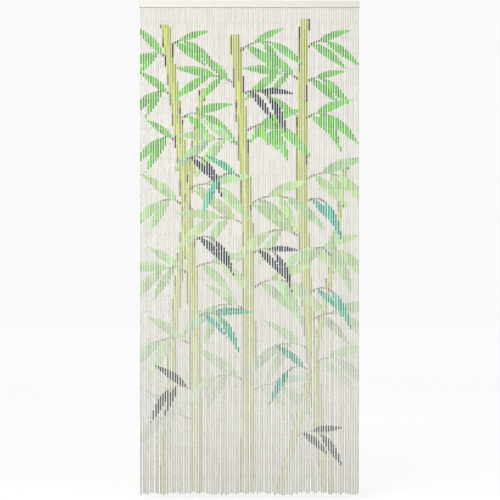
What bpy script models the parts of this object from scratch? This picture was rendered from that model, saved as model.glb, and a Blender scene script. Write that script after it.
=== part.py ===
"""Bamboo door curtain: straight strands of slim bamboo beads that hang from a wooden headrail.

Metres, +Z up and +X to the right. The front faces -Y, and the origin is the middle of the
headrail's back face, where the curtain meets the wall or the door frame.
"""

import collections
import math
import random

import bmesh
import bpy
from mathutils import Vector

# Headrail
RAIL_LENGTH = 0.900
RAIL_HEIGHT = 0.027
RAIL_DEPTH = 0.012
RAIL_EDGE = 0.0010
RAIL_EDGE_STEPS = 2

# Strands of beads, each a square rod of the beads' width
STRAND_COUNT = 90
STRAND_PITCH = 0.00995
BEAD_WIDTH = 0.0065
BEAD_PITCH = 0.062
BEADS_IN_STRAND = 32
STRAND_DROP = BEADS_IN_STRAND * BEAD_PITCH
STRAND_FIELD = (STRAND_COUNT - 1) * STRAND_PITCH + BEAD_WIDTH

# Root strip that the strands grow from, seated in a groove under the headrail
FIT_GAP = 0.0003
STRIP_MARGIN = 0.0010
STRIP_LENGTH = STRAND_FIELD + 2 * STRIP_MARGIN
STRIP_DEPTH = 0.0073
STRIP_HEIGHT = 0.0040
ROOT_SINK = 0.0015
GROOVE_OVERCUT = 0.0050

# How unevenly the strands hang: at each level, given as a share of the drop, a strand may
# stray this far to the side and this far outward from a plumb line
Level = collections.namedtuple("Level", "share side outward")
LEVELS = (
    Level(share=0.00, side=0.0002, outward=0.0002),
    Level(share=0.24, side=0.0007, outward=0.0008),
    Level(share=0.49, side=0.0010, outward=0.0012),
    Level(share=0.75, side=0.0012, outward=0.0014),
    Level(share=1.00, side=0.0014, outward=0.0016),
)
HANG_SEED = 23
END_SCATTER = 0.0060
END_WAVE = 0.0035
END_WAVES = 3.4

RAIL_COLOUR = (0.83, 0.81, 0.76)
RAIL_ROUGHNESS = 0.55
BEAD_COLOUR = (0.72, 0.70, 0.62)
BEAD_ROUGHNESS = 0.50


def clear_scene():
    for obj in list(bpy.data.objects):
        bpy.data.objects.remove(obj, do_unlink=True)


def make_material(name, colour, roughness):
    material = bpy.data.materials.new(name)
    material.use_nodes = True
    shader = material.node_tree.nodes["Principled BSDF"]
    shader.inputs["Base Color"].default_value = (*colour, 1.0)
    shader.inputs["Roughness"].default_value = roughness
    shader.inputs["Metallic"].default_value = 0.0
    material.diffuse_color = (*colour, 1.0)
    return material


def add_object(name, bm, location, parent):
    """Links the mesh as an object under its parent, with its origin at location."""
    mesh = bpy.data.meshes.new(name)
    bm.to_mesh(mesh)
    bm.free()
    obj = bpy.data.objects.new(name, mesh)
    obj.location = location
    obj.parent = parent
    bpy.context.collection.objects.link(obj)
    return obj


def box_mesh(size, centre):
    bm = bmesh.new()
    bmesh.ops.create_cube(bm, size=1.0)
    bmesh.ops.scale(bm, vec=size, verts=bm.verts)
    bmesh.ops.translate(bm, vec=centre, verts=bm.verts)
    return bm


def as_guide(obj):
    """A shape that only cuts or adds to another one."""
    obj.display_type = "WIRE"
    obj.hide_render = True


def join_by_boolean(obj, other, operation):
    boolean = obj.modifiers.new(operation.lower(), "BOOLEAN")
    boolean.operation = operation
    boolean.solver = "EXACT"
    boolean.object = other
    as_guide(other)


def make_headrail(curtain):
    """A plain batten with eased edges and a closed groove in its underside."""
    size = (RAIL_LENGTH, RAIL_DEPTH, RAIL_HEIGHT)
    rail = add_object("headrail", box_mesh(size, (0, 0, 0)), (0, -RAIL_DEPTH / 2, 0), curtain)
    edges = rail.modifiers.new("eased_edges", "BEVEL")
    edges.width = RAIL_EDGE
    edges.segments = RAIL_EDGE_STEPS
    edges.limit_method = "ANGLE"

    groove_top = STRIP_HEIGHT + FIT_GAP
    groove_size = (
        STRIP_LENGTH + 2 * FIT_GAP,
        STRIP_DEPTH + 2 * FIT_GAP,
        groove_top + GROOVE_OVERCUT,
    )
    groove_centre = (0, 0, (groove_top - GROOVE_OVERCUT) / 2)
    underside = (0, 0, -RAIL_HEIGHT / 2)
    groove = add_object("groove_cutter", box_mesh(groove_size, groove_centre), underside, rail)
    join_by_boolean(rail, groove, "DIFFERENCE")
    rail.data.materials.append(make_material("painted_batten", RAIL_COLOUR, RAIL_ROUGHNESS))
    return rail


def strand_drop(strand, scatter):
    """The strand's own length: the lower ends make a slow wave with a scatter of their own."""
    across = strand / (STRAND_COUNT - 1)
    wave = END_WAVE * math.sin(2 * math.pi * END_WAVES * across)
    return STRAND_DROP + wave + scatter.uniform(-END_SCATTER, END_SCATTER)


def strand_line(strand, scatter):
    """The strand's middle line as a point for each level, from its root in the strip down."""
    plumb_x = (strand - (STRAND_COUNT - 1) / 2) * STRAND_PITCH
    drop = strand_drop(strand, scatter)
    line = []
    for level in LEVELS:
        x = plumb_x + scatter.uniform(-level.side, level.side)
        y = scatter.uniform(-level.outward, level.outward)
        line.append(Vector((x, y, -level.share * drop)))
    root = line[0] + Vector((0, 0, ROOT_SINK))
    return [root, *line[1:]]


def add_strand(bm, line):
    """A square rod along the line: a ring of corners at each point, and faces between rings."""
    half = BEAD_WIDTH / 2
    corners = ((-half, -half), (half, -half), (half, half), (-half, half))
    rings = [[bm.verts.new(point + Vector((x, y, 0))) for x, y in corners] for point in line]
    for upper, lower in zip(rings, rings[1:]):
        for side in range(len(corners)):
            after = (side + 1) % len(corners)
            bm.faces.new((upper[side], lower[side], lower[after], upper[after]))
    bm.faces.new(rings[0])
    bm.faces.new(reversed(rings[-1]))


def make_strands(curtain):
    """All strands, fused at their roots into the strip that sits in the headrail's groove."""
    underside = (0, -RAIL_DEPTH / 2, -RAIL_HEIGHT / 2)
    strip_size = (STRIP_LENGTH, STRIP_DEPTH, STRIP_HEIGHT)
    strip_mesh = box_mesh(strip_size, (0, 0, STRIP_HEIGHT / 2))
    strands = add_object("strands", strip_mesh, underside, curtain)

    scatter = random.Random(HANG_SEED)
    bm = bmesh.new()
    for strand in range(STRAND_COUNT):
        add_strand(bm, strand_line(strand, scatter))
    rods = add_object("strand_rods", bm, (0, 0, 0), strands)
    join_by_boolean(strands, rods, "UNION")
    strands.data.materials.append(make_material("bamboo_beads", BEAD_COLOUR, BEAD_ROUGHNESS))
    return strands


def main():
    clear_scene()
    curtain = bpy.data.objects.new("door_curtain", None)
    bpy.context.collection.objects.link(curtain)
    make_headrail(curtain)
    make_strands(curtain)


main()
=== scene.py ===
"""Looks of a bamboo door curtain: strands of printed bamboo beads, the wire eyes that link them,
the painted headrail, and a plain studio to see them in. Metres, front towards -Y."""

import collections
import math

import bmesh
import bpy
import numpy as np
from bpy.props import FloatProperty, FloatVectorProperty, IntProperty, PointerProperty
from bpy.types import Operator, Panel, PropertyGroup
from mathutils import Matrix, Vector


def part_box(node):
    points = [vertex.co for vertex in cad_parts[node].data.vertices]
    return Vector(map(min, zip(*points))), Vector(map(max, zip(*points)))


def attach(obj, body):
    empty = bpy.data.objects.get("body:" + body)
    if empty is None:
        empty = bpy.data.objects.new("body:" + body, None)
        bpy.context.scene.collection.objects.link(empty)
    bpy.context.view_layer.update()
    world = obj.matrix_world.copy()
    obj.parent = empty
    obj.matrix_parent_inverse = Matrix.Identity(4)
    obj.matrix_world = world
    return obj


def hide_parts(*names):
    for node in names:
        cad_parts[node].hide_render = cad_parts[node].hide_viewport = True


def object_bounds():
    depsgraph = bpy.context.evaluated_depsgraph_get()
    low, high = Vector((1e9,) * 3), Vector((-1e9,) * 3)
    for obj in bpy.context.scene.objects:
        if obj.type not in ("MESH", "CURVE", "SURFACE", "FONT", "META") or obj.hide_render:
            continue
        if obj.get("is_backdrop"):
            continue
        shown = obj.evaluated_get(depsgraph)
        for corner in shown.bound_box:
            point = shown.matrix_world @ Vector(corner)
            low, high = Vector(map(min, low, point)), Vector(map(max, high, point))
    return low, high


bl_info = {
    "name": "Bamboo door curtain",
    "version": (1, 0, 0),
    "blender": (4, 5, 0),
    "location": "3D View > Sidebar > Door curtain",
    "description": "Dresses a door curtain with printed bamboo beads, wire eyes and a painted headrail",
    "category": "Object",
}

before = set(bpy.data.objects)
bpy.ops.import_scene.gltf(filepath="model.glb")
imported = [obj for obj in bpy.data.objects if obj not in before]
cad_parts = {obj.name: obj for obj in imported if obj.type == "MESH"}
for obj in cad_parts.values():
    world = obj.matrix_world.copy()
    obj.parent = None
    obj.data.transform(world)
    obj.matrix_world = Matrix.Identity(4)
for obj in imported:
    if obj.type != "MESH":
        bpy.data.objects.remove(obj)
CAD_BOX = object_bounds()

# Edges that turn by more than this stay crisp where a mesh is shaded smooth
SHARP_FROM = math.radians(40)

# Seeds of the small unevenness of handwork
BEAD_SEED = 7
PRINT_SEED = 5
WIRE_SEED = 13

# The print is laid out on a grid of one column for each strand and one row for each step down
PRINT_STEP = 0.002

# A tapering stem of the print, from its foot to its top, across from the middle of the curtain
# and down from the headrail. bow is how far its middle swings to the side.
Stem = collections.namedtuple("Stem", "foot_x foot_down top_x top_down bow foot_width top_width paint")
STEMS = {
    "right": Stem(0.325, 1.990, 0.225, 0.045, -0.050, 0.054, 0.040, "reed"),
    "middle": Stem(-0.015, 1.990, -0.060, 0.110, 0.034, 0.056, 0.042, "reed"),
    "left": Stem(-0.215, 1.990, -0.345, 0.070, 0.040, 0.054, 0.040, "reed"),
    "slim": Stem(-0.350, 1.990, -0.190, 0.330, -0.024, 0.040, 0.026, "reed"),
    "young": Stem(0.120, 1.990, 0.395, 0.640, 0.030, 0.036, 0.022, "young_reed"),
}

# A spray of leaves on an arching twig that leaves a stem this far down. heading is the twig's
# first direction in degrees from straight up, to the right, and curl is how far it turns over
# its reach.
Spray = collections.namedtuple("Spray", "stem down heading curl reach leaves leaf_length leaf_width paint")
SPRAYS = (
    Spray("left", 0.200, -42, -60, 0.050, 3, 0.165, 0.034, "leaf"),
    Spray("right", 0.160, 44, 62, 0.080, 3, 0.170, 0.034, "leaf"),
    Spray("left", 0.150, 46, 60, 0.050, 3, 0.160, 0.032, "leaf"),
    Spray("middle", 0.175, 48, 56, 0.130, 4, 0.170, 0.034, "leaf"),
    Spray("middle", 0.310, -50, -52, 0.110, 4, 0.170, 0.036, "leaf"),
    Spray("right", 0.290, -52, -56, 0.090, 4, 0.170, 0.036, "leaf"),
    Spray("left", 0.350, -54, -60, 0.050, 3, 0.160, 0.036, "leaf"),
    Spray("right", 0.300, 50, 64, 0.060, 3, 0.160, 0.034, "leaf"),
    Spray("left", 0.450, 54, 56, 0.090, 3, 0.180, 0.038, "leaf"),
    Spray("right", 0.450, 52, 60, 0.080, 4, 0.180, 0.038, "leaf"),
    Spray("right", 0.440, -58, -58, 0.080, 3, 0.170, 0.036, "leaf"),
    Spray("middle", 0.500, 54, 60, 0.130, 4, 0.190, 0.040, "leaf"),
    Spray("left", 0.540, -54, -60, 0.050, 3, 0.170, 0.036, "leaf"),
    Spray("middle", 0.560, -56, -54, 0.120, 4, 0.195, 0.042, "pale_leaf"),
    Spray("right", 0.700, 54, 62, 0.130, 4, 0.200, 0.042, "pale_leaf"),
    Spray("left", 0.740, 56, 60, 0.110, 3, 0.200, 0.042, "pale_leaf"),
    Spray("left", 0.800, -52, -62, 0.080, 3, 0.185, 0.040, "pale_leaf"),
    Spray("middle", 0.800, 54, 56, 0.150, 4, 0.205, 0.044, "pale_leaf"),
    Spray("middle", 0.880, -56, -54, 0.120, 4, 0.205, 0.044, "pale_leaf"),
    Spray("right", 0.930, -56, -56, 0.120, 3, 0.210, 0.044, "pale_leaf"),
    Spray("right", 1.000, 56, 60, 0.120, 4, 0.210, 0.044, "pale_leaf"),
    Spray("young", 1.010, -30, -70, 0.070, 3, 0.170, 0.038, "pale_leaf"),
    Spray("left", 1.080, -56, -62, 0.100, 4, 0.200, 0.042, "pale_leaf"),
    Spray("left", 1.060, 56, 56, 0.100, 3, 0.200, 0.042, "pale_leaf"),
    Spray("middle", 1.140, 54, 58, 0.140, 4, 0.215, 0.046, "pale_leaf"),
    Spray("middle", 1.230, -58, -54, 0.110, 3, 0.205, 0.044, "mist_leaf"),
    Spray("right", 1.270, 56, 58, 0.120, 3, 0.210, 0.044, "mist_leaf"),
    Spray("left", 1.370, -58, -56, 0.120, 3, 0.205, 0.044, "mist_leaf"),
    Spray("right", 1.390, -56, -58, 0.110, 3, 0.200, 0.042, "mist_leaf"),
    Spray("young", 1.450, 50, 60, 0.080, 3, 0.190, 0.042, "mist_leaf"),
    Spray("middle", 1.520, -56, -58, 0.110, 3, 0.205, 0.044, "mist_leaf"),
    Spray("middle", 1.560, 56, 58, 0.110, 3, 0.200, 0.042, "mist_leaf"),
    Spray("left", 1.680, -58, -58, 0.110, 3, 0.200, 0.042, "mist_leaf"),
    Spray("middle", 0.350, 60, 80, 0.110, 3, 0.170, 0.032, "slate_leaf"),
    Spray("left", 0.620, 52, 88, 0.080, 2, 0.165, 0.030, "slate_leaf"),
    Spray("right", 0.790, 54, 88, 0.080, 2, 0.165, 0.030, "teal_leaf"),
    Spray("middle", 0.690, -52, -88, 0.090, 2, 0.170, 0.030, "teal_leaf"),
    Spray("left", 0.950, 50, 86, 0.090, 2, 0.165, 0.030, "slate_leaf"),
    Spray("middle", 1.000, 52, 90, 0.100, 3, 0.165, 0.030, "slate_leaf"),
    Spray("right", 1.160, 48, 90, 0.090, 2, 0.170, 0.030, "teal_leaf"),
    Spray("left", 1.260, 52, 84, 0.090, 3, 0.170, 0.030, "teal_leaf"),
    Spray("right", 1.480, -46, -88, 0.080, 2, 0.165, 0.030, "teal_leaf"),
    Spray("young", 1.750, 46, 84, 0.100, 3, 0.155, 0.032, "ash_leaf"),
    Spray("left", 1.560, -50, -84, 0.090, 3, 0.155, 0.032, "ash_leaf"),
)

# A twig's points and half its thickness, and where along it the first leaf grows
TWIG_POINTS = 24
TWIG_HALF = 0.003
FIRST_LEAF = 0.20

# How far a leaf turns away from its twig, in degrees, and how much less so towards the tip
SPLAY_AT_ROOT = 50
SPLAY_LOSS = 14

# A leaf's own bend in degrees, and how far each leaf turns towards straight down, as a share
LEAF_BEND = 18
LEAF_DROOP = 0.16

# Leaves below the tip are smaller by turns, in a wave from leaf to leaf and down the curtain
SIDE_LEAF_SIZE = 0.90
SIZE_WAVE = 0.12
WAVE_BY_LEAF = 2.3
WAVE_BY_DROP = 9

# A leaf is widest nearer to its root the lower the first is, and fuller the lower the second is.
# The third stands in for its half width at the root and the tip, where that would be nothing.
WIDEST_POWER = 0.75
FULL_POWER = 0.9
THINNEST_HALF = 1e-6

Leaf = collections.namedtuple("Leaf", "x down heading bend length width")
Bead = collections.namedtuple("Bead", "strand top foot gap_above gap_below tone warmth")


def linear(red, green, blue):
    """A colour as a screen shows it, 0 to 255, in the linear values that shaders take."""
    def channel(value):
        value /= 255
        return value / 12.92 if value <= 0.04045 else ((value + 0.055) / 1.055) ** 2.4

    return channel(red), channel(green), channel(blue)


def colour_property(name, description, default):
    return FloatVectorProperty(
        name=name, description=description, subtype="COLOR", size=3, min=0.0, max=1.0, default=default
    )


def length_property(name, description, default):
    return FloatProperty(
        name=name, description=description, subtype="DISTANCE", unit="LENGTH", min=0.0, default=default,
        precision=5,
    )


def power_property(name, description, default):
    return FloatProperty(name=name, description=description, unit="POWER", min=0.0, default=default)


class BeadSettings(PropertyGroup):
    strand_count: IntProperty(name="Strands", description="How many strands hang side by side", default=90)
    strand_pitch: length_property("Pitch", "From one strand to the next", 0.00995)
    beads_in_strand: IntProperty(name="Beads", description="Beads threaded on each strand", default=32)
    bead_width: length_property("Bead width", "A bead's usual outer diameter", 0.0065)
    bore_width: length_property("Bore", "The hole along a bead", 0.0036)
    joint_gap: length_property("Joint", "Open space between two beads of a strand", 0.0009)
    top_gap: length_property("Top joint", "Open space under the headrail, for an eye and a staple", 0.0012)
    sides: IntProperty(name="Sides", description="Faces round a bead", default=12, min=6)
    pieces: IntProperty(name="Pieces", description="Meshes that share the strands out", default=6, min=1)
    cane: colour_property("Cane", "Bleached bamboo", linear(240, 237, 232))
    # Dark cane also darkens each bead's cut ends: partly darker end grain, partly painted shade in the
    # joints
    cane_dark: colour_property("Dark cane", "Fibres and cut ends of the bamboo", linear(186, 168, 136))
    cane_fleck: colour_property("Flecks", "Short dark flecks among the fibres", linear(176, 150, 112))
    cane_warm: colour_property("Warm cane", "What the warmer beads lean towards", linear(226, 196, 150))


class WireSettings(PropertyGroup):
    thickness: length_property("Thickness", "The wire's diameter", 0.0006)
    eye_width: length_property("Eye width", "Across an eye, from middle to middle of the wire", 0.0020)
    metal: colour_property("Wire", "Galvanised wire", linear(196, 196, 192))
    tarnish: colour_property("Tarnish", "Duller clouds on the wire", linear(150, 148, 142))


class PrintSettings(PropertyGroup):
    wash: colour_property("Wash", "Thin wash under the print, towards the foot", linear(200, 220, 192))
    leaf: colour_property("Leaf", "Leaves near the top", linear(104, 206, 0))
    pale_leaf: colour_property("Pale leaf", "Leaves half way down", linear(178, 224, 132))
    mist_leaf: colour_property("Mist leaf", "Leaves near the foot", linear(172, 220, 146))
    teal_leaf: colour_property("Teal leaf", "Blue-green accents", linear(12, 192, 156))
    slate_leaf: colour_property("Slate leaf", "Dark accents", linear(0, 50, 60))
    ash_leaf: colour_property("Ash leaf", "Grey accents near the foot", linear(56, 66, 54))
    reed: colour_property("Reed", "Tall stems", linear(178, 194, 0))
    young_reed: colour_property("Young reed", "The thin stem", linear(166, 192, 40))
    reed_glow: colour_property("Reed glow", "Light stroke down a stem", linear(202, 212, 12))
    reed_edge: colour_property("Reed edge", "Left edge of the stems", linear(132, 142, 0))
    reed_bark: colour_property("Reed bark", "Broken dark strokes on the stems' edges", linear(82, 56, 2))
    twig: colour_property("Twig", "Arching twigs", linear(108, 84, 40))
    shade: FloatProperty(
        name="Shade", description="How much darker a leaf's or a stem's shaded side is", subtype="FACTOR",
        min=0.0, max=1.0, default=0.30,
    )


class RailSettings(PropertyGroup):
    paint: colour_property("Paint", "Off-white paint on the batten", linear(228, 226, 222))
    wood: colour_property("Wood", "Wood where the paint is thin", linear(214, 198, 170))
    strip: colour_property("Strip", "Bare wood of the strip in the groove", linear(230, 218, 194))
    strip_dark: colour_property("Strip grain", "Dark grain of the strip", linear(200, 178, 140))
    strip_ease: length_property("Strip edge", "Rounding of the strip's edges", 0.0005)


class StageSettings(PropertyGroup):
    camera_distance: length_property("Camera distance", "From the lens to the headrail's front", 6.0)
    floor_gap: length_property("Floor gap", "From the lowest bead to the floor", 0.022)
    key_power: power_property("Key", "Large soft light in front, on the left", 40.0)
    fill_power: power_property("Fill", "Large soft light in front, on the right", 16.0)
    back_power: power_property("Back", "Large soft light high behind the curtain", 45.0)
    ambient: FloatProperty(name="Ambient", description="How much light the surroundings give", default=0.55)
    backdrop: FloatProperty(name="Backdrop", description="How bright the surroundings look", default=0.96)
    # The near floor's lower brightness is painted shade around the curtain
    floor_near: FloatProperty(name="Floor", description="How bright the near floor looks", default=0.82)
    film_gamma: FloatProperty(name="Film gamma", description="Below 1, deeper middle tones", default=0.80)


# The solid strands' corners belong to one level where their heights agree to so many digits
LEVEL_DIGITS = 4


def strand_corners():
    """The corners of the solid strands and of the strip that their roots are fused into."""
    return np.array([vertex.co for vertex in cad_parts["strands"].data.vertices])


def strand_lines(beads):
    """Each strand's middle line as the solids hang, in points from the headrail down."""
    corners = strand_corners()
    low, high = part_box("headrail")
    root_y = (low.y + high.y) / 2
    hanging = corners[corners[:, 2] < low.z - beads.bead_width]
    lines = []
    for strand in range(beads.strand_count):
        plumb = (strand - (beads.strand_count - 1) / 2) * beads.strand_pitch
        own = hanging[np.abs(hanging[:, 0] - plumb) < beads.strand_pitch / 2]
        if not len(own):
            raise RuntimeError(f"strand {strand + 1} isn't among the solids")
        line = [(plumb, root_y, low.z)]
        for level in np.unique(own[:, 2].round(LEVEL_DIGITS))[::-1]:
            ring = own[np.abs(own[:, 2] - level) < beads.bead_width / 2]
            line.append((ring.min(axis=0) + ring.max(axis=0)) / 2)
        lines.append(np.array(line))
    return lines


# The print: stems and sprays of leaves, as the strokes that each strand shows

def stem_climb(stem, down):
    return (stem.foot_down - down) / (stem.foot_down - stem.top_down)


def stem_middle(stem, down):
    """How far across the stem's middle is, this far down."""
    climb = stem_climb(stem, down)
    return stem.foot_x + (stem.top_x - stem.foot_x) * climb + stem.bow * np.sin(np.pi * climb)


def stem_width(stem, down):
    return stem.foot_width + (stem.top_width - stem.foot_width) * stem_climb(stem, down)


def twig_line(spray):
    """Points along the spray's twig from the stem's edge, each across, down and with its heading."""
    stem, down = STEMS[spray.stem], spray.down
    x = stem_middle(stem, down) + math.copysign(stem_width(stem, down) / 2, spray.heading)
    stride = spray.reach / (TWIG_POINTS - 1)
    points = []
    for step in range(TWIG_POINTS):
        heading = spray.heading + spray.curl * step / (TWIG_POINTS - 1)
        points.append((x, down, heading))
        x += stride * math.sin(math.radians(heading))
        down -= stride * math.cos(math.radians(heading))
    return points


def spray_leaves(spray):
    """Leaves that leave the twig by turns to its left and right, and one at its tip."""
    points = twig_line(spray)
    for number in range(spray.leaves):
        share = FIRST_LEAF + (1 - FIRST_LEAF) * number / (spray.leaves - 1)
        x, down, heading = points[round(share * (TWIG_POINTS - 1))]
        tip = number == spray.leaves - 1
        side = 1 if number % 2 == 0 else -1
        splay = 0 if tip else side * (SPLAY_AT_ROOT - SPLAY_LOSS * share)
        turned = heading + splay
        turned += LEAF_DROOP * (math.copysign(180, turned) - turned)
        wave = math.sin(WAVE_BY_LEAF * number + WAVE_BY_DROP * spray.down)
        size = 1.0 if tip else SIDE_LEAF_SIZE + SIZE_WAVE * wave
        bend = math.copysign(LEAF_BEND, spray.curl)
        yield Leaf(x, down, turned, bend, spray.leaf_length * size, spray.leaf_width * size)


def leaf_shape(leaf, across, down):
    """Where the grid lies inside the leaf, the side of its midrib from -1 to 1, and how far out."""
    turn = math.radians(leaf.heading)
    right, below = across - leaf.x, down - leaf.down
    along = (right * math.sin(turn) - below * math.cos(turn)) / leaf.length
    inner = np.clip(along, 0, 1)
    side = right * math.cos(turn) + below * math.sin(turn)
    side -= leaf.length * math.radians(leaf.bend) * inner**2 / 2
    half = leaf.width / 2 * np.sin(np.pi * inner**WIDEST_POWER) ** FULL_POWER
    inside = (along > 0) & (along < 1) & (np.abs(side) < half)
    return inside, side / np.maximum(half, THINNEST_HALF), inner


def stem_shape(stem, across, down):
    """Where the grid lies inside the stem, the place across it from -0.5 to 0.5, and the climb."""
    climb = stem_climb(stem, down)
    place = (across - stem_middle(stem, down)) / stem_width(stem, down)
    return (climb >= 0) & (climb <= 1) & (np.abs(place) < 0.5), place, climb


class Print:
    """Strokes of paint on a grid of strands and steps down: each one's number, colour and cover."""

    # How much of the cane each kind of paint covers at these distances below the headrail
    FADE_DOWN = (0.0, 0.50, 0.90, 1.30, 1.60, 1.99)
    LEAF_FADE = (1.0, 0.98, 0.82, 0.65, 0.32, 0.18)
    REED_FADE = (1.0, 0.94, 0.76, 0.54, 0.35, 0.22)
    ACCENT_FADE = (1.0, 1.0, 0.97, 0.90, 0.78, 0.66)
    WASH_FADE = (0.0, 0.04, 0.07, 0.09, 0.11, 0.13)
    FADES = {
        "wash": WASH_FADE,
        **dict.fromkeys(("teal_leaf", "slate_leaf", "ash_leaf"), ACCENT_FADE),
        **dict.fromkeys(("reed", "young_reed", "reed_edge", "reed_glow", "reed_bark"), REED_FADE),
    }

    # How bright a stroke may be on one strand or another, how far a leaf's red, green and blue and
    # its brightness may wander, and the share of its light that its lighter side takes
    STRAND_TINT = (0.80, 1.10)
    LEAF_WANDER = np.array((0.14, 0.05, 0.16))
    LEAF_DEPTH = 0.12
    MIDRIB_LIGHT = 0.6

    # Across a stem, whose edges are at -0.5 and 0.5: its light, its glow and its olive edge
    MIDDLE_LIGHT = 0.9
    LIGHT_LOSS = 1.2
    GLOW_MIDDLE = -0.12
    GLOW_HALF = 0.12
    OLIVE_UP_TO = -0.36

    # Broken strokes of bark: how fast they follow each other up a stem, in radians, and how far out
    # they begin on its left or right. They start at another height on each stem, by where its top
    # is, and get shorter down to half way, where the gaps between them meet.
    Bark = collections.namedtuple("Bark", "pace reach side")
    BARK = (Bark(46, 0.34, 1), Bark(33, 0.38, -1))
    BARK_SHIFT = 30
    BARK_GAPS_AT_TOP = 0.55
    BARK_LOSS = 0.9

    def __init__(self, beads, paints, drop):
        numbers = np.arange(beads.strand_count) - (beads.strand_count - 1) / 2
        self.across = (numbers * beads.strand_pitch)[:, None]
        self.down = np.arange(0, drop, PRINT_STEP)[None, :]
        self.pitch = beads.strand_pitch
        self.paints = paints
        shape = (self.across.size, self.down.size)
        self.stroke = np.zeros(shape, int)
        self.colour = np.zeros((*shape, 3))
        self.cover = np.zeros(shape)
        self.scatter = np.random.default_rng(PRINT_SEED)
        self.lay(np.ones(shape, bool), "wash")
        for stem in STEMS.values():
            self.paint_stem(stem)
        for spray in SPRAYS:
            self.paint_spray(spray)

    def lay(self, inside, paint, lit=1.0, wander=0.0, depth=0.0):
        """One stroke, darker where lit is low, a little uneven from strand to strand, and with
        a tint of its own: its channels wander from the paint's, and all of them by its depth."""
        tint = np.array(getattr(self.paints, paint)) * (1 + wander * self.scatter.uniform(-1, 1, 3))
        tint *= 1 + depth * self.scatter.uniform(-1, 1)
        shading = 1 - self.paints.shade * (1 - np.broadcast_to(lit, inside.shape))
        uneven = self.scatter.uniform(*self.STRAND_TINT, (self.across.size, 1))
        self.colour[inside] = (tint * (shading * uneven)[..., None])[inside]
        cover = np.interp(self.down, self.FADE_DOWN, self.FADES.get(paint, self.LEAF_FADE))
        self.cover[inside] = np.broadcast_to(cover, inside.shape)[inside]
        self.stroke[inside] = self.stroke.max() + 1

    def paint_stem(self, stem):
        """The stem, a glow left of its middle, an olive edge, and broken dark strokes near the top."""
        inside, place, climb = stem_shape(stem, self.across, self.down)
        self.lay(inside, stem.paint, np.clip(self.MIDDLE_LIGHT - self.LIGHT_LOSS * place, 0, 1))
        self.lay(inside & (np.abs(place - self.GLOW_MIDDLE) < self.GLOW_HALF), "reed_glow")
        self.lay(inside & (place < self.OLIVE_UP_TO), "reed_edge")
        gaps = self.BARK_GAPS_AT_TOP + self.BARK_LOSS * (1 - climb)
        for bark in self.BARK:
            broken = np.sin(bark.pace * climb + self.BARK_SHIFT * stem.top_x) > gaps
            self.lay(inside & (bark.side * place > bark.reach) & broken, "reed_bark")

    def paint_spray(self, spray):
        for x, down, _ in twig_line(spray):
            near = (np.abs(self.across - x) < self.pitch / 2) & (np.abs(self.down - down) < TWIG_HALF)
            self.lay(near, "twig")
        for leaf in spray_leaves(spray):
            inside, side, out = leaf_shape(leaf, self.across, self.down)
            lit = self.MIDRIB_LIGHT * (side > 0) + (1 - self.MIDRIB_LIGHT) * out
            self.lay(inside, spray.paint, lit, self.LEAF_WANDER, self.LEAF_DEPTH)

    def row(self, down):
        return int(np.clip(down / PRINT_STEP, 0, self.down.size - 1))

    def cuts(self, strand, top, foot):
        """Distances down, between top and foot, at which this strand's stroke changes."""
        rows = self.stroke[strand, self.row(top):self.row(foot) + 1]
        changes = np.flatnonzero(np.diff(rows)) + 1
        return (self.row(top) + changes) * PRINT_STEP

    def at(self, strand, down):
        """Colour and cover there, as one row of four values."""
        row = self.row(down)
        return np.array([*self.colour[strand, row], self.cover[strand, row]])


# Beads: hollow tubes with eased rims, cut where the print changes

# How far joints stray up or down from bead to bead and from strand to strand, and the slow wave
# that each row of joints makes across the curtain
JOINT_SCATTER = 0.0012
STRAND_SCATTER = 0.0016
ROW_WAVE = 0.0022
ROW_WAVES = 2.6

# How much joints and beads differ, as shares of their usual size
GAP_SCATTER = 0.25
WIDTH_SCATTER = 0.03
OVALITY = 0.03

# How much lighter or darker whole strands and single beads are, from -1 to 1
STRAND_TONE = 0.175
BEAD_TONE = 0.40

# The rounding of a bead's rims, and the shortest band of paint on it
RIM_EASE = 0.00035
MIN_CUT = 0.0022

# The map that textures are baked on has a cell for each bead or wire eye, with a margin inside
# it. A bead's cell is this many times as tall as it is wide.
CELL_MARGIN = 0.06
BEAD_SLIMNESS = 3.9


def bead_list(beads, lines):
    """Every bead of every strand, with the little differences that hand-cut cane has."""
    scatter = np.random.default_rng(BEAD_SEED)
    made = []
    for strand, line in enumerate(lines):
        first_joint = line[0][2] - beads.top_gap / 2
        joints = np.linspace(first_joint, line[-1][2], beads.beads_in_strand + 1)
        wave = ROW_WAVE * math.sin(2 * math.pi * ROW_WAVES * strand / len(lines))
        joints[1:-1] += wave + scatter.uniform(-STRAND_SCATTER, STRAND_SCATTER)
        joints[1:-1] += scatter.uniform(-JOINT_SCATTER, JOINT_SCATTER, beads.beads_in_strand - 1)
        gaps = beads.joint_gap * scatter.uniform(1 - GAP_SCATTER, 1 + GAP_SCATTER, joints.size)
        gaps[0], gaps[-1] = beads.top_gap, 0.0
        strand_tone = scatter.normal(0, STRAND_TONE)
        for number in range(beads.beads_in_strand):
            top = joints[number] - gaps[number] / 2
            foot = joints[number + 1] + gaps[number + 1] / 2
            tone = float(np.clip(strand_tone + scatter.normal(0, BEAD_TONE), -1, 1))
            warmth = float(scatter.uniform(-1, 1))
            made.append(Bead(strand, top, foot, gaps[number], gaps[number + 1], tone, warmth))
    return made


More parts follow.
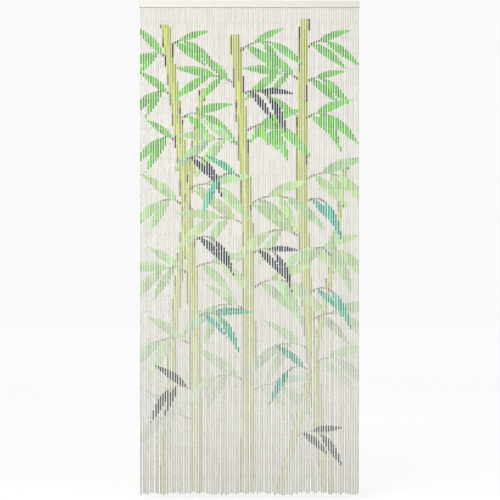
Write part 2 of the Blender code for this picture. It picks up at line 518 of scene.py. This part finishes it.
def bead_profile(bead, beads, cuts, scatter):
    """Radius and height of each ring from the bore's top, over the outside, to the bore's foot."""
    width = beads.bead_width * (1 + scatter.uniform(-WIDTH_SCATTER, WIDTH_SCATTER))
    taper = scatter.uniform(-WIDTH_SCATTER, WIDTH_SCATTER) / 2
    top_radius, foot_radius = width / 2 * (1 + taper), width / 2 * (1 - taper)
    bore = beads.bore_width / 2
    heights = [bead.top - RIM_EASE, *cuts, bead.foot + RIM_EASE]
    body = [
        (np.interp(bead.top - height, (0, bead.top - bead.foot), (top_radius, foot_radius)), height)
        for height in heights
    ]
    return np.array([
        (bore, bead.top),
        (top_radius - RIM_EASE, bead.top),
        *body,
        (foot_radius - RIM_EASE, bead.foot),
        (bore, bead.foot),
    ])


def bead_cuts(bead, rail_foot, pattern):
    """Heights at which the print changes on this bead, well apart from each other and the rims."""
    kept, last = [], bead.top
    for down in pattern.cuts(bead.strand, rail_foot - bead.top, rail_foot - bead.foot):
        height = rail_foot - down
        if last - height > MIN_CUT and height - bead.foot > MIN_CUT:
            kept.append(height)
            last = height
    return kept


def map_cells(count, slimness):
    """Columns and rows of a map with a cell for each of count things, taller than wide by slimness."""
    columns = math.ceil(math.sqrt(count * slimness))
    return columns, math.ceil(count / columns)


def in_cell(number, cells, across, up):
    """Places on the map in the cell of that number, from how far across and up they are in it."""
    columns, rows = cells
    u = number % columns + CELL_MARGIN + (1 - 2 * CELL_MARGIN) * across
    slim_margin = CELL_MARGIN * rows / columns
    v = number // columns + slim_margin + (1 - 2 * slim_margin) * up
    return np.stack([u / columns, v / rows], axis=-1)


def tube_quads(rings, sides, closed):
    """Faces between rings of corners, and from the last ring to the first where that is closed."""
    ring, side = np.meshgrid(np.arange(rings if closed else rings - 1), np.arange(sides), indexing="ij")
    below, after = (ring + 1) % rings, (side + 1) % sides
    corners = [ring * sides + side, below * sides + side, below * sides + after, ring * sides + after]
    return np.stack(corners, axis=-1).reshape(-1, 4)


def tube_map(places, sides):
    """How far across and up each face's corners are: round the sides, and from place to place."""
    ring, side = np.meshgrid(np.arange(len(places) - 1), np.arange(sides), indexing="ij")
    across = np.stack([side, side, side + 1, side + 1], axis=-1) / sides
    up = places[np.stack([ring, ring + 1, ring + 1, ring], axis=-1)]
    return across.reshape(-1), up.reshape(-1)


def add_bake_map(mesh, places):
    layer = mesh.uv_layers.new(name="OFBake")
    layer.data.foreach_set("uv", places.ravel())


class BeadMesh:
    """Collects the rings and faces of many beads, then makes one mesh of them."""

    def __init__(self, beads, lines, pattern, count):
        self.beads, self.lines, self.pattern = beads, lines, pattern
        self.points, self.tones, self.faces, self.uvs, self.paints = [], [], [], [], []
        self.first = 0
        self.cells = map_cells(count, BEAD_SLIMNESS)
        self.number = 0

    def add(self, bead, scatter):
        sides = self.beads.sides
        rail_foot = self.lines[0][0][2]
        cuts = bead_cuts(bead, rail_foot, self.pattern)
        profile = bead_profile(bead, self.beads, cuts, scatter)
        rings = len(profile)
        line = self.lines[bead.strand]
        heights = profile[:, 1]
        middle_x = np.interp(-heights, -line[:, 2], line[:, 0])
        middle_y = np.interp(-heights, -line[:, 2], line[:, 1])
        seam_at_back = np.pi / 2
        turn = 2 * np.pi * np.arange(sides) / sides + seam_at_back
        oval = 1 + scatter.uniform(-OVALITY, OVALITY)
        x = middle_x[:, None] + profile[:, :1] * oval * np.cos(turn)
        y = middle_y[:, None] + profile[:, :1] / oval * np.sin(turn)
        z = np.broadcast_to(heights[:, None], x.shape)
        self.points.append(np.stack([x, y, z], axis=-1).reshape(-1, 3))
        along = (bead.top - heights) / (bead.top - bead.foot)
        tone = np.stack(np.broadcast_arrays(bead.tone, bead.warmth, along[:, None] + 0 * turn), axis=-1)
        self.tones.append(tone.reshape(-1, 3))

        self.faces.append(self.first + tube_quads(rings, sides, closed=True))
        self.first += rings * sides
        self.add_map(profile, sides)
        self.add_paint(bead, heights, rail_foot)

    def add_map(self, profile, sides):
        """The bead's own cell of the map: once round across, once over its profile up."""
        round_profile = np.vstack([profile, profile[:1]])
        reach = np.cumsum(np.linalg.norm(np.diff(round_profile, axis=0), axis=1))
        places = np.insert(reach / reach[-1], 0, 0)
        self.uvs.append(in_cell(self.number, self.cells, *tube_map(places, sides)))
        self.number += 1

    def add_paint(self, bead, heights, rail_foot):
        """Paint on the outside, from rim to rim, and bare cane on the cut ends and in the bore."""
        sides, rings = self.beads.sides, len(heights)
        corners, values = 4, 4
        paint = np.zeros((rings, corners, values))
        for ring in range(1, rings - 2):
            beside_rim = min(max(ring, 2), rings - 4)
            middle = (heights[beside_rim] + heights[beside_rim + 1]) / 2
            paint[ring] = self.pattern.at(bead.strand, rail_foot - middle)
        self.paints.append(np.repeat(paint[:, None], sides, axis=1).reshape(-1, values))

    def make(self, name):
        mesh = bpy.data.meshes.new(name)
        points, faces = np.concatenate(self.points), np.concatenate(self.faces)
        mesh.from_pydata(points.tolist(), [], faces.tolist())
        mesh.shade_smooth()
        tone = mesh.attributes.new("bead_tone", "FLOAT_VECTOR", "POINT")
        tone.data.foreach_set("vector", np.concatenate(self.tones).ravel())
        paint = mesh.color_attributes.new("print", "FLOAT_COLOR", "CORNER")
        paint.data.foreach_set("color", np.concatenate(self.paints).ravel())
        add_bake_map(mesh, np.concatenate(self.uvs))
        mesh.set_sharp_from_angle(angle=SHARP_FROM)
        return mesh


def add_piece(name, mesh, material):
    """Links a piece that rides on the curtain's one body, with that material."""
    piece = bpy.data.objects.new(name, mesh)
    bpy.context.scene.collection.objects.link(piece)
    mesh.materials.clear()
    mesh.materials.append(material)
    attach(piece, "root")
    return piece


# Materials

# A noise of the grain, in the fibres' own stretched space: its scale and detail, and the values
# between which it goes from nothing to full strength
GrainNoise = collections.namedtuple("GrainNoise", "scale detail low high")
STREAKS = GrainNoise(1.0, 3.0, 0.32, 0.68)
FLECKS = GrainNoise(0.35, 2.0, 0.60, 0.74)

# A material's grain: fibres across a metre and repeats along it, roughness between fibres and on
# them, and how far and how strongly they stand up
Grain = collections.namedtuple("Grain", "fibres repeats roughness height strength")
CANE_GRAIN = Grain(1500.0, 22.0, (0.42, 0.62), 0.00012, 0.6)
WOOD_GRAIN = Grain(420.0, 5.0, (0.42, 0.58), 0.00025, 0.35)

# How strongly the cane's streaks and flecks show, and how bare of paint they are
STREAK_SHOWS = 0.18
FLECK_SHOWS = 0.24
STREAK_BARE = 0.05
FLECK_BARE = 0.12

# The cane's usual warmth and brightness, and how far a bead may be from them
USUAL_WARMTH = 0.04
WARMTH_SPREAD = 0.04
USUAL_LIGHT = 0.93
LIGHT_SPREAD = 0.06

# Shares of a bead's length from its end: how dark the cut end gets, where that darkening fades out, and
# where paint begins. The darkening is partly darker end grain and partly painted shade in the joints
# between beads.
END_DARK_AND_JOINT_SHADE = 0.25
END_FADE = (0.002, 0.024)
PAINT_BEGINS = (0.0, 0.006)
CANE_SPECULAR = 0.24

# Cloudy zinc: clouds in a metre, and its roughness
WIRE_CLOUDS = 900.0
WIRE_ROUGHNESS = (0.30, 0.55)

# Blender's mix node finds its colour sockets by number, since other types share their names
MIX_FIRST = 6
MIX_SECOND = 7
MIX_RESULT = 2


def add_node(tree, kind, place, **settings):
    node = tree.nodes.new(kind)
    node.location = place
    for name, value in settings.items():
        setattr(node, name, value)
    return node


def link(tree, source, target):
    tree.links.new(source, target)


def feed(tree, value, socket):
    """Links a socket, or sets a plain colour or number."""
    if isinstance(value, bpy.types.NodeSocket):
        link(tree, value, socket)
    elif socket.type == "RGBA":
        socket.default_value = (*value, 1.0)
    else:
        socket.default_value = value


def mix_colours(tree, place, factor, first, second, blend="MIX"):
    """A colour mix. factor, first and second are each a socket or a plain value."""
    node = add_node(tree, "ShaderNodeMix", place, data_type="RGBA", blend_type=blend)
    feed(tree, factor, node.inputs["Factor"])
    feed(tree, first, node.inputs[MIX_FIRST])
    feed(tree, second, node.inputs[MIX_SECOND])
    return node.outputs[MIX_RESULT]


def calculate(tree, place, operation, *values):
    """A maths node on sockets or plain numbers."""
    node = add_node(tree, "ShaderNodeMath", place, operation=operation)
    for socket, value in zip(node.inputs, values):
        feed(tree, value, socket)
    return node.outputs["Value"]


def ramp(tree, place, value, spread, reach):
    """Takes a value from its spread, lowest and highest, to the reach, held at both ends."""
    node = add_node(tree, "ShaderNodeMapRange", place)
    node.inputs["From Min"].default_value, node.inputs["From Max"].default_value = spread
    node.inputs["To Min"].default_value, node.inputs["To Max"].default_value = reach
    link(tree, value, node.inputs["Value"])
    return node.outputs["Result"]


def grey_of(tree, place, value):
    """A grey of that value, as a colour socket."""
    node = add_node(tree, "ShaderNodeCombineColor", place)
    for channel in ("Red", "Green", "Blue"):
        link(tree, value, node.inputs[channel])
    return node.outputs["Color"]


def add_noise(tree, place, vector, scale, detail=2.0):
    noise = add_node(tree, "ShaderNodeTexNoise", place)
    noise.inputs["Scale"].default_value = scale
    noise.inputs["Detail"].default_value = detail
    link(tree, vector, noise.inputs["Vector"])
    return noise.outputs["Fac"]


def new_material(name):
    material = bpy.data.materials.new(name)
    material.use_nodes = True
    return material, material.node_tree, material.node_tree.nodes["Principled BSDF"]


def new_group(name, inputs, outputs):
    """A shader node group with named sockets; each input is (name, socket type, default)."""
    tree = bpy.data.node_groups.new(name, "ShaderNodeTree")
    for socket, kind, default in inputs:
        made = tree.interface.new_socket(socket, in_out="INPUT", socket_type=kind)
        if default is not None:
            made.default_value = default
    for socket, kind in outputs:
        tree.interface.new_socket(socket, in_out="OUTPUT", socket_type=kind)
    source = add_node(tree, "NodeGroupInput", (-900, 0))
    target = add_node(tree, "NodeGroupOutput", (200, 0))
    return tree, source, target


def lengthwise_grain():
    """Long fibres: streaks and flecks, much longer than wide, along the third axis."""
    tree = bpy.data.node_groups.get("lengthwise_grain")
    if tree:
        return tree
    tree, source, target = new_group(
        "lengthwise_grain",
        (
            ("Vector", "NodeSocketVector", None),
            ("Fibres per Metre", "NodeSocketFloat", CANE_GRAIN.fibres),
            ("Repeats per Metre", "NodeSocketFloat", CANE_GRAIN.repeats),
        ),
        (("Streak", "NodeSocketFloat"), ("Fleck", "NodeSocketFloat")),
    )
    scale = add_node(tree, "ShaderNodeCombineXYZ", (-700, -160))
    for axis, rate in zip("XYZ", ("Fibres per Metre", "Fibres per Metre", "Repeats per Metre")):
        link(tree, source.outputs[rate], scale.inputs[axis])
    stretched = add_node(tree, "ShaderNodeVectorMath", (-500, 0), operation="MULTIPLY")
    link(tree, source.outputs["Vector"], stretched.inputs[0])
    link(tree, scale.outputs["Vector"], stretched.inputs[1])
    for output, noise, height in (("Streak", STREAKS, 120), ("Fleck", FLECKS, -160)):
        cloud = add_noise(tree, (-280, height), stretched.outputs["Vector"], noise.scale, noise.detail)
        strength = ramp(tree, (-60, height), cloud, (noise.low, noise.high), (0.0, 1.0))
        link(tree, strength, target.inputs[output])
    return tree


def add_grain(tree, place, vector, grain):
    """Streak and fleck, from 0 to 1, of a material with that grain."""
    node = add_node(tree, "ShaderNodeGroup", place)
    node.node_tree = lengthwise_grain()
    node.inputs["Fibres per Metre"].default_value = grain.fibres
    node.inputs["Repeats per Metre"].default_value = grain.repeats
    link(tree, vector, node.inputs["Vector"])
    return node.outputs["Streak"], node.outputs["Fleck"]


def raise_grain(tree, shader, streak, grain):
    """Makes the fibres rougher than what lies between them, and lets them stand up a little."""
    rough = ramp(tree, (300, -120), streak, (0.0, 1.0), grain.roughness)
    link(tree, rough, shader.inputs["Roughness"])
    bump = add_node(tree, "ShaderNodeBump", (300, -420))
    bump.inputs["Distance"].default_value = grain.height
    bump.inputs["Strength"].default_value = grain.strength
    link(tree, streak, bump.inputs["Height"])
    link(tree, bump.outputs["Normal"], shader.inputs["Normal"])


def bead_place(tree, tone, warmth):
    """Object coordinates, moved for each bead so that no two share their fibres."""
    place = add_node(tree, "ShaderNodeTexCoord", (-1500, 200))
    shift = add_node(tree, "ShaderNodeCombineXYZ", (-1450, 0))
    link(tree, tone, shift.inputs["X"])
    link(tree, warmth, shift.inputs["Y"])
    shifted = add_node(tree, "ShaderNodeVectorMath", (-1250, 200), operation="ADD")
    link(tree, place.outputs["Object"], shifted.inputs[0])
    link(tree, shift.outputs["Vector"], shifted.inputs[1])
    return shifted.outputs["Vector"]


def cane_colour(tree, beads, streak, fleck, tone, warmth, to_end):
    """Bleached cane: fibres and flecks, each bead's own warmth and tone, and cut ends darkened, partly as
    darker end grain and partly as painted shade in the joints.
    """
    plain, dark, specks, tint = map(tuple, (beads.cane, beads.cane_dark, beads.cane_fleck, beads.cane_warm))
    streaks = calculate(tree, (-850, 420), "MULTIPLY", streak, STREAK_SHOWS)
    cane = mix_colours(tree, (-700, 420), streaks, plain, dark)
    flecks = calculate(tree, (-650, 300), "MULTIPLY", fleck, FLECK_SHOWS)
    cane = mix_colours(tree, (-500, 420), flecks, cane, specks)
    warm = calculate(tree, (-700, 120), "MULTIPLY_ADD", warmth, WARMTH_SPREAD, USUAL_WARMTH)
    cane = mix_colours(tree, (-300, 420), warm, cane, tint)
    light = calculate(tree, (-500, 60), "MULTIPLY_ADD", tone, LIGHT_SPREAD, USUAL_LIGHT)
    cane = mix_colours(tree, (-100, 420), 1.0, cane, grey_of(tree, (-300, 60), light), "MULTIPLY")
    # Painted shade: the cane darkens towards each end, partly as darker end grain and partly as shade in
    # the joint between beads
    end_dark_and_joint_shade = ramp(tree, (-700, -300), to_end, END_FADE, (END_DARK_AND_JOINT_SHADE, 0.0))
    return mix_colours(tree, (80, 420), end_dark_and_joint_shade, cane, dark)


def paint_cover(tree, alpha, streak, fleck, to_end):
    """How much of the cane the paint covers: thinner on fibres and flecks, none on the rims."""
    for height, grain, bare in ((-560, streak, STREAK_BARE), (-720, fleck, FLECK_BARE)):
        kept = calculate(tree, (-500, height), "MULTIPLY_ADD", grain, -bare, 1.0)
        alpha = calculate(tree, (-300, height), "MULTIPLY", alpha, kept)
    reached = ramp(tree, (-700, -460), to_end, PAINT_BEGINS, (0.0, 1.0))
    return calculate(tree, (-100, -560), "MULTIPLY", alpha, reached)


def printed_bamboo(beads):
    """Bleached cane with long fibres, cut ends darkened partly as end grain and partly as painted shade in
    the joints, and the print soaked into it.
    """
    material, tree, shader = new_material("printed_bamboo")
    shader.location = (620, 0)
    tones = add_node(tree, "ShaderNodeAttribute", (-1500, -200), attribute_name="bead_tone")
    parts = add_node(tree, "ShaderNodeSeparateXYZ", (-1300, -200))
    link(tree, tones.outputs["Vector"], parts.inputs["Vector"])
    tone, warmth, along = (parts.outputs[axis] for axis in "XYZ")
    to_foot = calculate(tree, (-1050, -360), "SUBTRACT", 1.0, along)
    to_end = calculate(tree, (-900, -300), "MINIMUM", along, to_foot)
    streak, fleck = add_grain(tree, (-1000, 200), bead_place(tree, tone, warmth), CANE_GRAIN)

    cane = cane_colour(tree, beads, streak, fleck, tone, warmth, to_end)
    ink = add_node(tree, "ShaderNodeAttribute", (-700, -620), attribute_name="print")
    cover = paint_cover(tree, ink.outputs["Alpha"], streak, fleck, to_end)
    colour = mix_colours(tree, (300, 300), cover, cane, ink.outputs["Color"])
    link(tree, colour, shader.inputs["Base Color"])
    shader.inputs["Specular IOR Level"].default_value = CANE_SPECULAR
    raise_grain(tree, shader, streak, CANE_GRAIN)
    return material


def galvanised_wire(wires):
    """Dull zinc with cloudy brighter and darker patches."""
    material, tree, shader = new_material("galvanised_wire")
    place = add_node(tree, "ShaderNodeTexCoord", (-700, 0))
    clouds = add_noise(tree, (-500, 0), place.outputs["Object"], WIRE_CLOUDS)
    colour = mix_colours(tree, (-250, 100), clouds, tuple(wires.tarnish), tuple(wires.metal))
    link(tree, colour, shader.inputs["Base Color"])
    rough = ramp(tree, (-250, -160), clouds, (0.0, 1.0), WIRE_ROUGHNESS)
    link(tree, rough, shader.inputs["Roughness"])
    shader.inputs["Metallic"].default_value = 1.0
    return material


def batten(name, face, grain_colour, strength):
    """A batten whose grain runs along its length and shows through its face by strength."""
    material, tree, shader = new_material(name)
    shader.location = (620, 0)
    place = add_node(tree, "ShaderNodeTexCoord", (-1200, 0))
    turned = add_node(tree, "ShaderNodeMapping", (-1000, 0))
    turned.inputs["Rotation"].default_value = (0.0, math.radians(90), 0.0)
    link(tree, place.outputs["Object"], turned.inputs["Vector"])
    streak, fleck = add_grain(tree, (-750, 0), turned.outputs["Vector"], WOOD_GRAIN)
    streaks = calculate(tree, (-500, 100), "MULTIPLY", streak, strength)
    colour = mix_colours(tree, (-250, 200), streaks, tuple(face), tuple(grain_colour))
    flecks = calculate(tree, (-250, 20), "MULTIPLY", fleck, strength / 2)
    colour = mix_colours(tree, (-50, 200), flecks, colour, tuple(grain_colour))
    link(tree, colour, shader.inputs["Base Color"])
    raise_grain(tree, shader, streak, WOOD_GRAIN)
    return material


def groove_strip(ease):
    """The strip as it sits in the headrail's groove, flush with the underside, with eased edges."""
    corners = strand_corners()
    rail_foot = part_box("headrail")[0].z
    seated = corners[corners[:, 2].round(LEVEL_DIGITS) >= round(rail_foot, LEVEL_DIGITS)]
    low, high = seated.min(axis=0), seated.max(axis=0)
    mesh = bpy.data.meshes.new("groove_strip")
    bm = bmesh.new()
    bmesh.ops.create_cube(bm, size=1.0)
    bmesh.ops.scale(bm, vec=high - low, verts=bm.verts)
    bmesh.ops.translate(bm, vec=(low + high) / 2, verts=bm.verts)
    bmesh.ops.bevel(bm, geom=bm.edges[:], offset=ease, segments=2, profile=0.5, affect="EDGES")
    bm.to_mesh(mesh)
    bm.free()
    mesh.shade_smooth()
    mesh.set_sharp_from_angle(angle=SHARP_FROM)
    return mesh


# Wire eyes: bent wires with two legs inside a bead, whose crowns hook each other in the joints

# Steps along a crown's arc, faces round the wire, and a leg's length
EYE_ARC_STEPS = 4
WIRE_SIDES = 4
EYE_LEG = 0.0020

# The most that a bead's eyes turn about the strand, in radians. More would push them together.
EYE_TURN = 0.2


def eye_line(wires):
    """A half-round crown and two legs in their own plane: sideways and up from the crown's middle."""
    radius = wires.eye_width / 2
    arc = [math.pi * step / EYE_ARC_STEPS for step in range(EYE_ARC_STEPS + 1)]
    bow = [(-radius * math.cos(turn), -radius * math.sin(turn)) for turn in arc]
    return np.array([(-radius, EYE_LEG), *bow, (radius, EYE_LEG)])


def wire_tube(line, thickness):
    """Rings round a bent wire that lies in a plane: sideways, out of the plane, and up."""
    ahead = np.gradient(line, axis=0)
    ahead /= np.linalg.norm(ahead, axis=1)[:, None]
    across = np.stack([ahead[:, 1], -ahead[:, 0]], axis=-1)
    turn = 2 * np.pi * (np.arange(WIRE_SIDES) + 0.5) / WIRE_SIDES
    inner, outer = np.cos(turn) * thickness / 2, np.sin(turn) * thickness / 2
    flat = line[:, None, :] + across[:, None, :] * inner[None, :, None]
    depth = np.broadcast_to(outer, flat.shape[:2])
    return np.stack([flat[..., 0], depth, flat[..., 1]], axis=-1)


def crown_reach(gap, wires):
    """How far an eye's crown reaches into a joint, so that it just hooks the eye across it."""
    return (gap + wires.thickness) / 2


def eye_places(made, lines, wires):
    """For each bead, the eye that stands on its top and the one that hangs from its foot: a row
    of its crown's place, 1 where it hangs or -1 where it stands, and its turn about the strand."""
    scatter = np.random.default_rng(WIRE_SEED)
    places = []
    for bead in made:
        line = lines[bead.strand]
        turn = scatter.uniform(-EYE_TURN, EYE_TURN)
        for height, gap, hangs, quarter in (
            (bead.top, bead.gap_above, -1, math.pi / 2),
            (bead.foot, bead.gap_below, 1, 0),
        ):
            x = np.interp(-height, -line[:, 2], line[:, 0])
            y = np.interp(-height, -line[:, 2], line[:, 1])
            crown = height - hangs * crown_reach(gap, wires)
            places.append((x, y, crown, hangs, turn + quarter))
    return places


def staple_places(lines, reach):
    """A staple over each strand, which hangs from the strip in the headrail's groove."""
    return [(x, y, z - reach, 1, 0.0) for x, y, z in (line[0] for line in lines)]


def bend_eyes(name, places, wires):
    """One mesh of many eyes, each of which hangs or stands with its crown on its place."""
    line = eye_line(wires)
    side, depth, rise = wire_tube(line, wires.thickness).reshape(-1, 3).T
    x, y, crown, up, turn = np.array(places).T[..., None]
    depth = depth * up
    points = np.stack([
        x + side * np.cos(turn) - depth * np.sin(turn),
        y + side * np.sin(turn) + depth * np.cos(turn),
        crown + up * (rise + wires.eye_width / 2),
    ], axis=-1)
    count, corners = points.shape[:2]
    quads = tube_quads(len(line), WIRE_SIDES, closed=False)
    faces = (np.arange(count)[:, None, None] * corners + quads).reshape(-1, 4)
    mesh = bpy.data.meshes.new(name)
    mesh.from_pydata(points.reshape(-1, 3).tolist(), [], faces.tolist())
    cells = map_cells(count, 1.0)
    cell_map = tube_map(np.linspace(0, 1, len(line)), WIRE_SIDES)
    add_bake_map(mesh, np.concatenate([in_cell(number, cells, *cell_map) for number in range(count)]))
    mesh.shade_smooth()
    return mesh


class CurtainOperator:
    bl_options = {"REGISTER", "UNDO"}


class DOOR_CURTAIN_OT_thread_beads(CurtainOperator, Operator):
    """Threads every strand with hollow bamboo beads and lays the print on them"""

    bl_idname = "door_curtain.thread_beads"
    bl_label = "Thread the beads"

    def execute(self, context):
        beads = context.scene.curtain_beads
        lines = strand_lines(beads)
        drop = lines[0][0][2] - min(line[-1][2] for line in lines)
        pattern = Print(beads, context.scene.curtain_print, drop)
        made = bead_list(beads, lines)
        material = printed_bamboo(beads)
        scatter = np.random.default_rng(BEAD_SEED + 1)
        in_piece = math.ceil(beads.strand_count / beads.pieces)
        for piece in range(beads.pieces):
            own = [bead for bead in made if bead.strand // in_piece == piece]
            mesh = BeadMesh(beads, lines, pattern, len(own))
            for bead in own:
                mesh.add(bead, scatter)
            name = f"bead_strands_{piece + 1}"
            strands = add_piece(name, mesh.make(name), material)
            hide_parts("strands")
        return {"FINISHED"}


class DOOR_CURTAIN_OT_bend_wire_eyes(CurtainOperator, Operator):
    """Links the beads of each strand with pairs of wire eyes, and hooks the top ones to staples"""

    bl_idname = "door_curtain.bend_wire_eyes"
    bl_label = "Bend the wire eyes"

    def execute(self, context):
        beads, wires = context.scene.curtain_beads, context.scene.curtain_wires
        if wires.eye_width + wires.thickness >= beads.bore_width:
            raise RuntimeError("the wire eyes are too wide for the beads' bore")
        lines = strand_lines(beads)
        places = eye_places(bead_list(beads, lines), lines, wires)
        material = galvanised_wire(wires)
        staples = staple_places(lines, crown_reach(beads.top_gap, wires))
        half = len(places) // 2
        for name, own in (
            ("wire_eyes_1", places[:half]),
            ("wire_eyes_2", places[half:]),
            ("rail_staples", staples),
        ):
            add_piece(name, bend_eyes(name, own, wires), material)
        return {"FINISHED"}


class DOOR_CURTAIN_OT_finish_headrail(CurtainOperator, Operator):
    """Paints the headrail and fits the slim wooden strip in its groove"""

    bl_idname = "door_curtain.finish_headrail"
    bl_label = "Finish the headrail"

    # How strongly the grain shows through the headrail's paint, and on the strip's bare wood
    GRAIN_THROUGH_PAINT = 0.22
    GRAIN_OF_STRIP = 0.70

    def execute(self, context):
        rail = context.scene.curtain_rail
        painted = batten("painted_batten", rail.paint, rail.wood, self.GRAIN_THROUGH_PAINT)
        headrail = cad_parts["headrail"]
        headrail.data.materials.clear()
        headrail.data.materials.append(painted)
        wood = batten("strip_wood", rail.strip, rail.strip_dark, self.GRAIN_OF_STRIP)
        strip = add_piece("groove_strip", groove_strip(rail.strip_ease), wood)
        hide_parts("strands")
        return {"FINISHED"}


class DOOR_CURTAIN_OT_set_stage(CurtainOperator, Operator):
    """Sets the pale floor, the soft lights and the camera"""

    bl_idname = "door_curtain.set_stage"
    bl_label = "Set the stage"

    # The photograph's frame in pixels: its side, the headrail's width in it, and where that is
    PHOTO_SIDE = 500
    RAIL_WIDTH_PIXELS = 220.5
    RAIL_TOP_PIXEL = 0.7
    RAIL_MIDDLE_PIXEL = 249.5
    SENSOR_WIDTH = 36.0

    # The floor: a disc, its own grey, and how far from the curtain its painted shade fades into the
    # backdrop
    FLOOR_RADIUS = 14.0
    FLOOR_SIDES = 96
    FLOOR_GREY = 0.40
    FLOOR_FADE = (0.5, 7.0)
    FLOOR_ROUGHNESS = 0.9
    FLOOR_SPECULAR = 0.1
    WHITE = (1.0, 1.0, 1.0, 1.0)

    def execute(self, context):
        scene, stage = context.scene, context.scene.curtain_stage
        scene.view_settings.view_transform = "Standard"
        scene.view_settings.gamma = stage.film_gamma
        low, high = CAD_BOX
        self.add_floor(stage, low.z - stage.floor_gap)
        self.add_camera(scene, stage, low, high)
        self.add_lights(stage, low, high)
        self.add_world(scene, stage)
        return {"FINISHED"}

    def add_floor(self, stage, height):
        mesh = bpy.data.meshes.new("studio_floor")
        bm = bmesh.new()
        bmesh.ops.create_circle(bm, cap_ends=True, radius=self.FLOOR_RADIUS, segments=self.FLOOR_SIDES)
        bmesh.ops.translate(bm, vec=(0, 0, height), verts=bm.verts)
        bm.to_mesh(mesh)
        bm.free()
        floor = bpy.data.objects.new("studio_floor", mesh)
        bpy.context.scene.collection.objects.link(floor)
        mesh.materials.append(self.floor_paint(stage))
        floor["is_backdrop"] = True

    def floor_paint(self, stage):
        """Grey as a source of bounced light, but lifted for the camera by a glow only it sees, so it fades
        into the backdrop. The glow is weaker near the curtain, which paints a pool of shade on the floor
        around it.
        """
        material, tree, shader = new_material("studio_floor")
        shader.inputs["Base Color"].default_value = (*[self.FLOOR_GREY] * 3, 1.0)
        shader.inputs["Roughness"].default_value = self.FLOOR_ROUGHNESS
        shader.inputs["Specular IOR Level"].default_value = self.FLOOR_SPECULAR
        shader.inputs["Emission Color"].default_value = self.WHITE
        lit = self.FLOOR_GREY * stage.ambient
        place = add_node(tree, "ShaderNodeTexCoord", (-900, -200))
        away = add_node(tree, "ShaderNodeVectorMath", (-700, -200), operation="LENGTH")
        link(tree, place.outputs["Object"], away.inputs[0])
        # Painted shade: the camera-only glow is weaker near the curtain, so the floor looks darker there,
        # fading out to the backdrop
        reach = (stage.floor_near - lit, stage.backdrop - lit)
        lift = ramp(tree, (-500, -200), away.outputs["Value"], self.FLOOR_FADE, reach)
        seen = add_node(tree, "ShaderNodeLightPath", (-500, -500))
        lift = calculate(tree, (-250, -200), "MULTIPLY", lift, seen.outputs["Is Camera Ray"])
        link(tree, lift, shader.inputs["Emission Strength"])
        return material

    def add_camera(self, scene, stage, low, high):
        """Square to the curtain, with the headrail where the photograph has it."""
        pixel = (high.x - low.x) / self.RAIL_WIDTH_PIXELS
        data = bpy.data.cameras.new("camera")
        data.sensor_width = self.SENSOR_WIDTH
        data.lens = data.sensor_width * stage.camera_distance / (self.PHOTO_SIDE * pixel)
        camera = bpy.data.objects.new("camera", data)
        across = (self.PHOTO_SIDE / 2 - self.RAIL_MIDDLE_PIXEL) * pixel
        height = high.z - (self.PHOTO_SIDE / 2 - self.RAIL_TOP_PIXEL) * pixel
        camera.location = (across, low.y - stage.camera_distance, height)
        camera.rotation_euler = (math.radians(90), 0, 0)
        scene.collection.objects.link(camera)
        scene.camera = camera

    def add_lights(self, stage, low, high):
        """Three soft lights: each one's sides, its place, and the height on the curtain it aims at."""
        middle = (low.z + high.z) / 2
        self.add_softbox("key_light", stage.key_power, (1.8, 1.2), (-0.8, -2.2, -0.45), -0.5)
        self.add_softbox("fill_light", stage.fill_power, (1.2, 1.8), (1.6, -2.4, -0.7), middle)
        self.add_softbox("back_light", stage.back_power, (2.0, 2.0), (0.6, 3.0, 2.0), middle)

    def add_softbox(self, name, power, sides, place, aim_height):
        data = bpy.data.lights.new(name, "AREA")
        data.shape = "RECTANGLE"
        data.size, data.size_y = sides
        data.energy = power
        light = bpy.data.objects.new(name, data)
        light.location = place
        aim = Vector((0, 0, aim_height)) - light.location
        light.rotation_euler = aim.to_track_quat("-Z", "Y").to_euler()
        bpy.context.scene.collection.objects.link(light)

    def add_world(self, scene, stage):
        """Pale to look at, and dimmer as a light, so that the beads keep their roundness."""
        world = bpy.data.worlds.new("studio_world")
        scene.world = world
        world.use_nodes = True
        tree = world.node_tree
        seen = add_node(tree, "ShaderNodeLightPath", (-500, 200))
        reach = (stage.ambient, stage.backdrop)
        strength = ramp(tree, (-300, 200), seen.outputs["Is Camera Ray"], (0.0, 1.0), reach)
        background = tree.nodes["Background"]
        background.inputs["Color"].default_value = self.WHITE
        link(tree, strength, background.inputs["Strength"])


class DOOR_CURTAIN_PT_panel(Panel):
    bl_label = "Door curtain"
    bl_space_type = "VIEW_3D"
    bl_region_type = "UI"
    bl_category = "Door curtain"

    def draw(self, context):
        for operator in OPERATORS:
            self.layout.operator(operator.bl_idname)
        for group in SETTINGS:
            box = self.layout.box()
            settings = getattr(context.scene, group)
            for name in settings.__annotations__:
                box.prop(settings, name)


SETTINGS = {
    "curtain_beads": BeadSettings,
    "curtain_wires": WireSettings,
    "curtain_print": PrintSettings,
    "curtain_rail": RailSettings,
    "curtain_stage": StageSettings,
}
OPERATORS = (
    DOOR_CURTAIN_OT_finish_headrail,
    DOOR_CURTAIN_OT_thread_beads,
    DOOR_CURTAIN_OT_bend_wire_eyes,
    DOOR_CURTAIN_OT_set_stage,
)


def register():
    for made in (*SETTINGS.values(), *OPERATORS, DOOR_CURTAIN_PT_panel):
        bpy.utils.register_class(made)
    for name, group in SETTINGS.items():
        setattr(bpy.types.Scene, name, PointerProperty(type=group))


def unregister():
    for name in SETTINGS:
        delattr(bpy.types.Scene, name)
    for made in (*SETTINGS.values(), *OPERATORS, DOOR_CURTAIN_PT_panel):
        bpy.utils.unregister_class(made)


def write_sizes():
    """The solids' box and the finished model's box, in metres."""
    boxes = {"cad": CAD_BOX, "visual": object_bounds()}
    plain = {name: [list(corner) for corner in box] for name, box in boxes.items()}


def main():
    register()
    bpy.ops.door_curtain.finish_headrail()
    bpy.ops.door_curtain.thread_beads()
    bpy.ops.door_curtain.bend_wire_eyes()
    bpy.ops.door_curtain.set_stage()
    write_sizes()


if __name__ == "__main__":
    main()
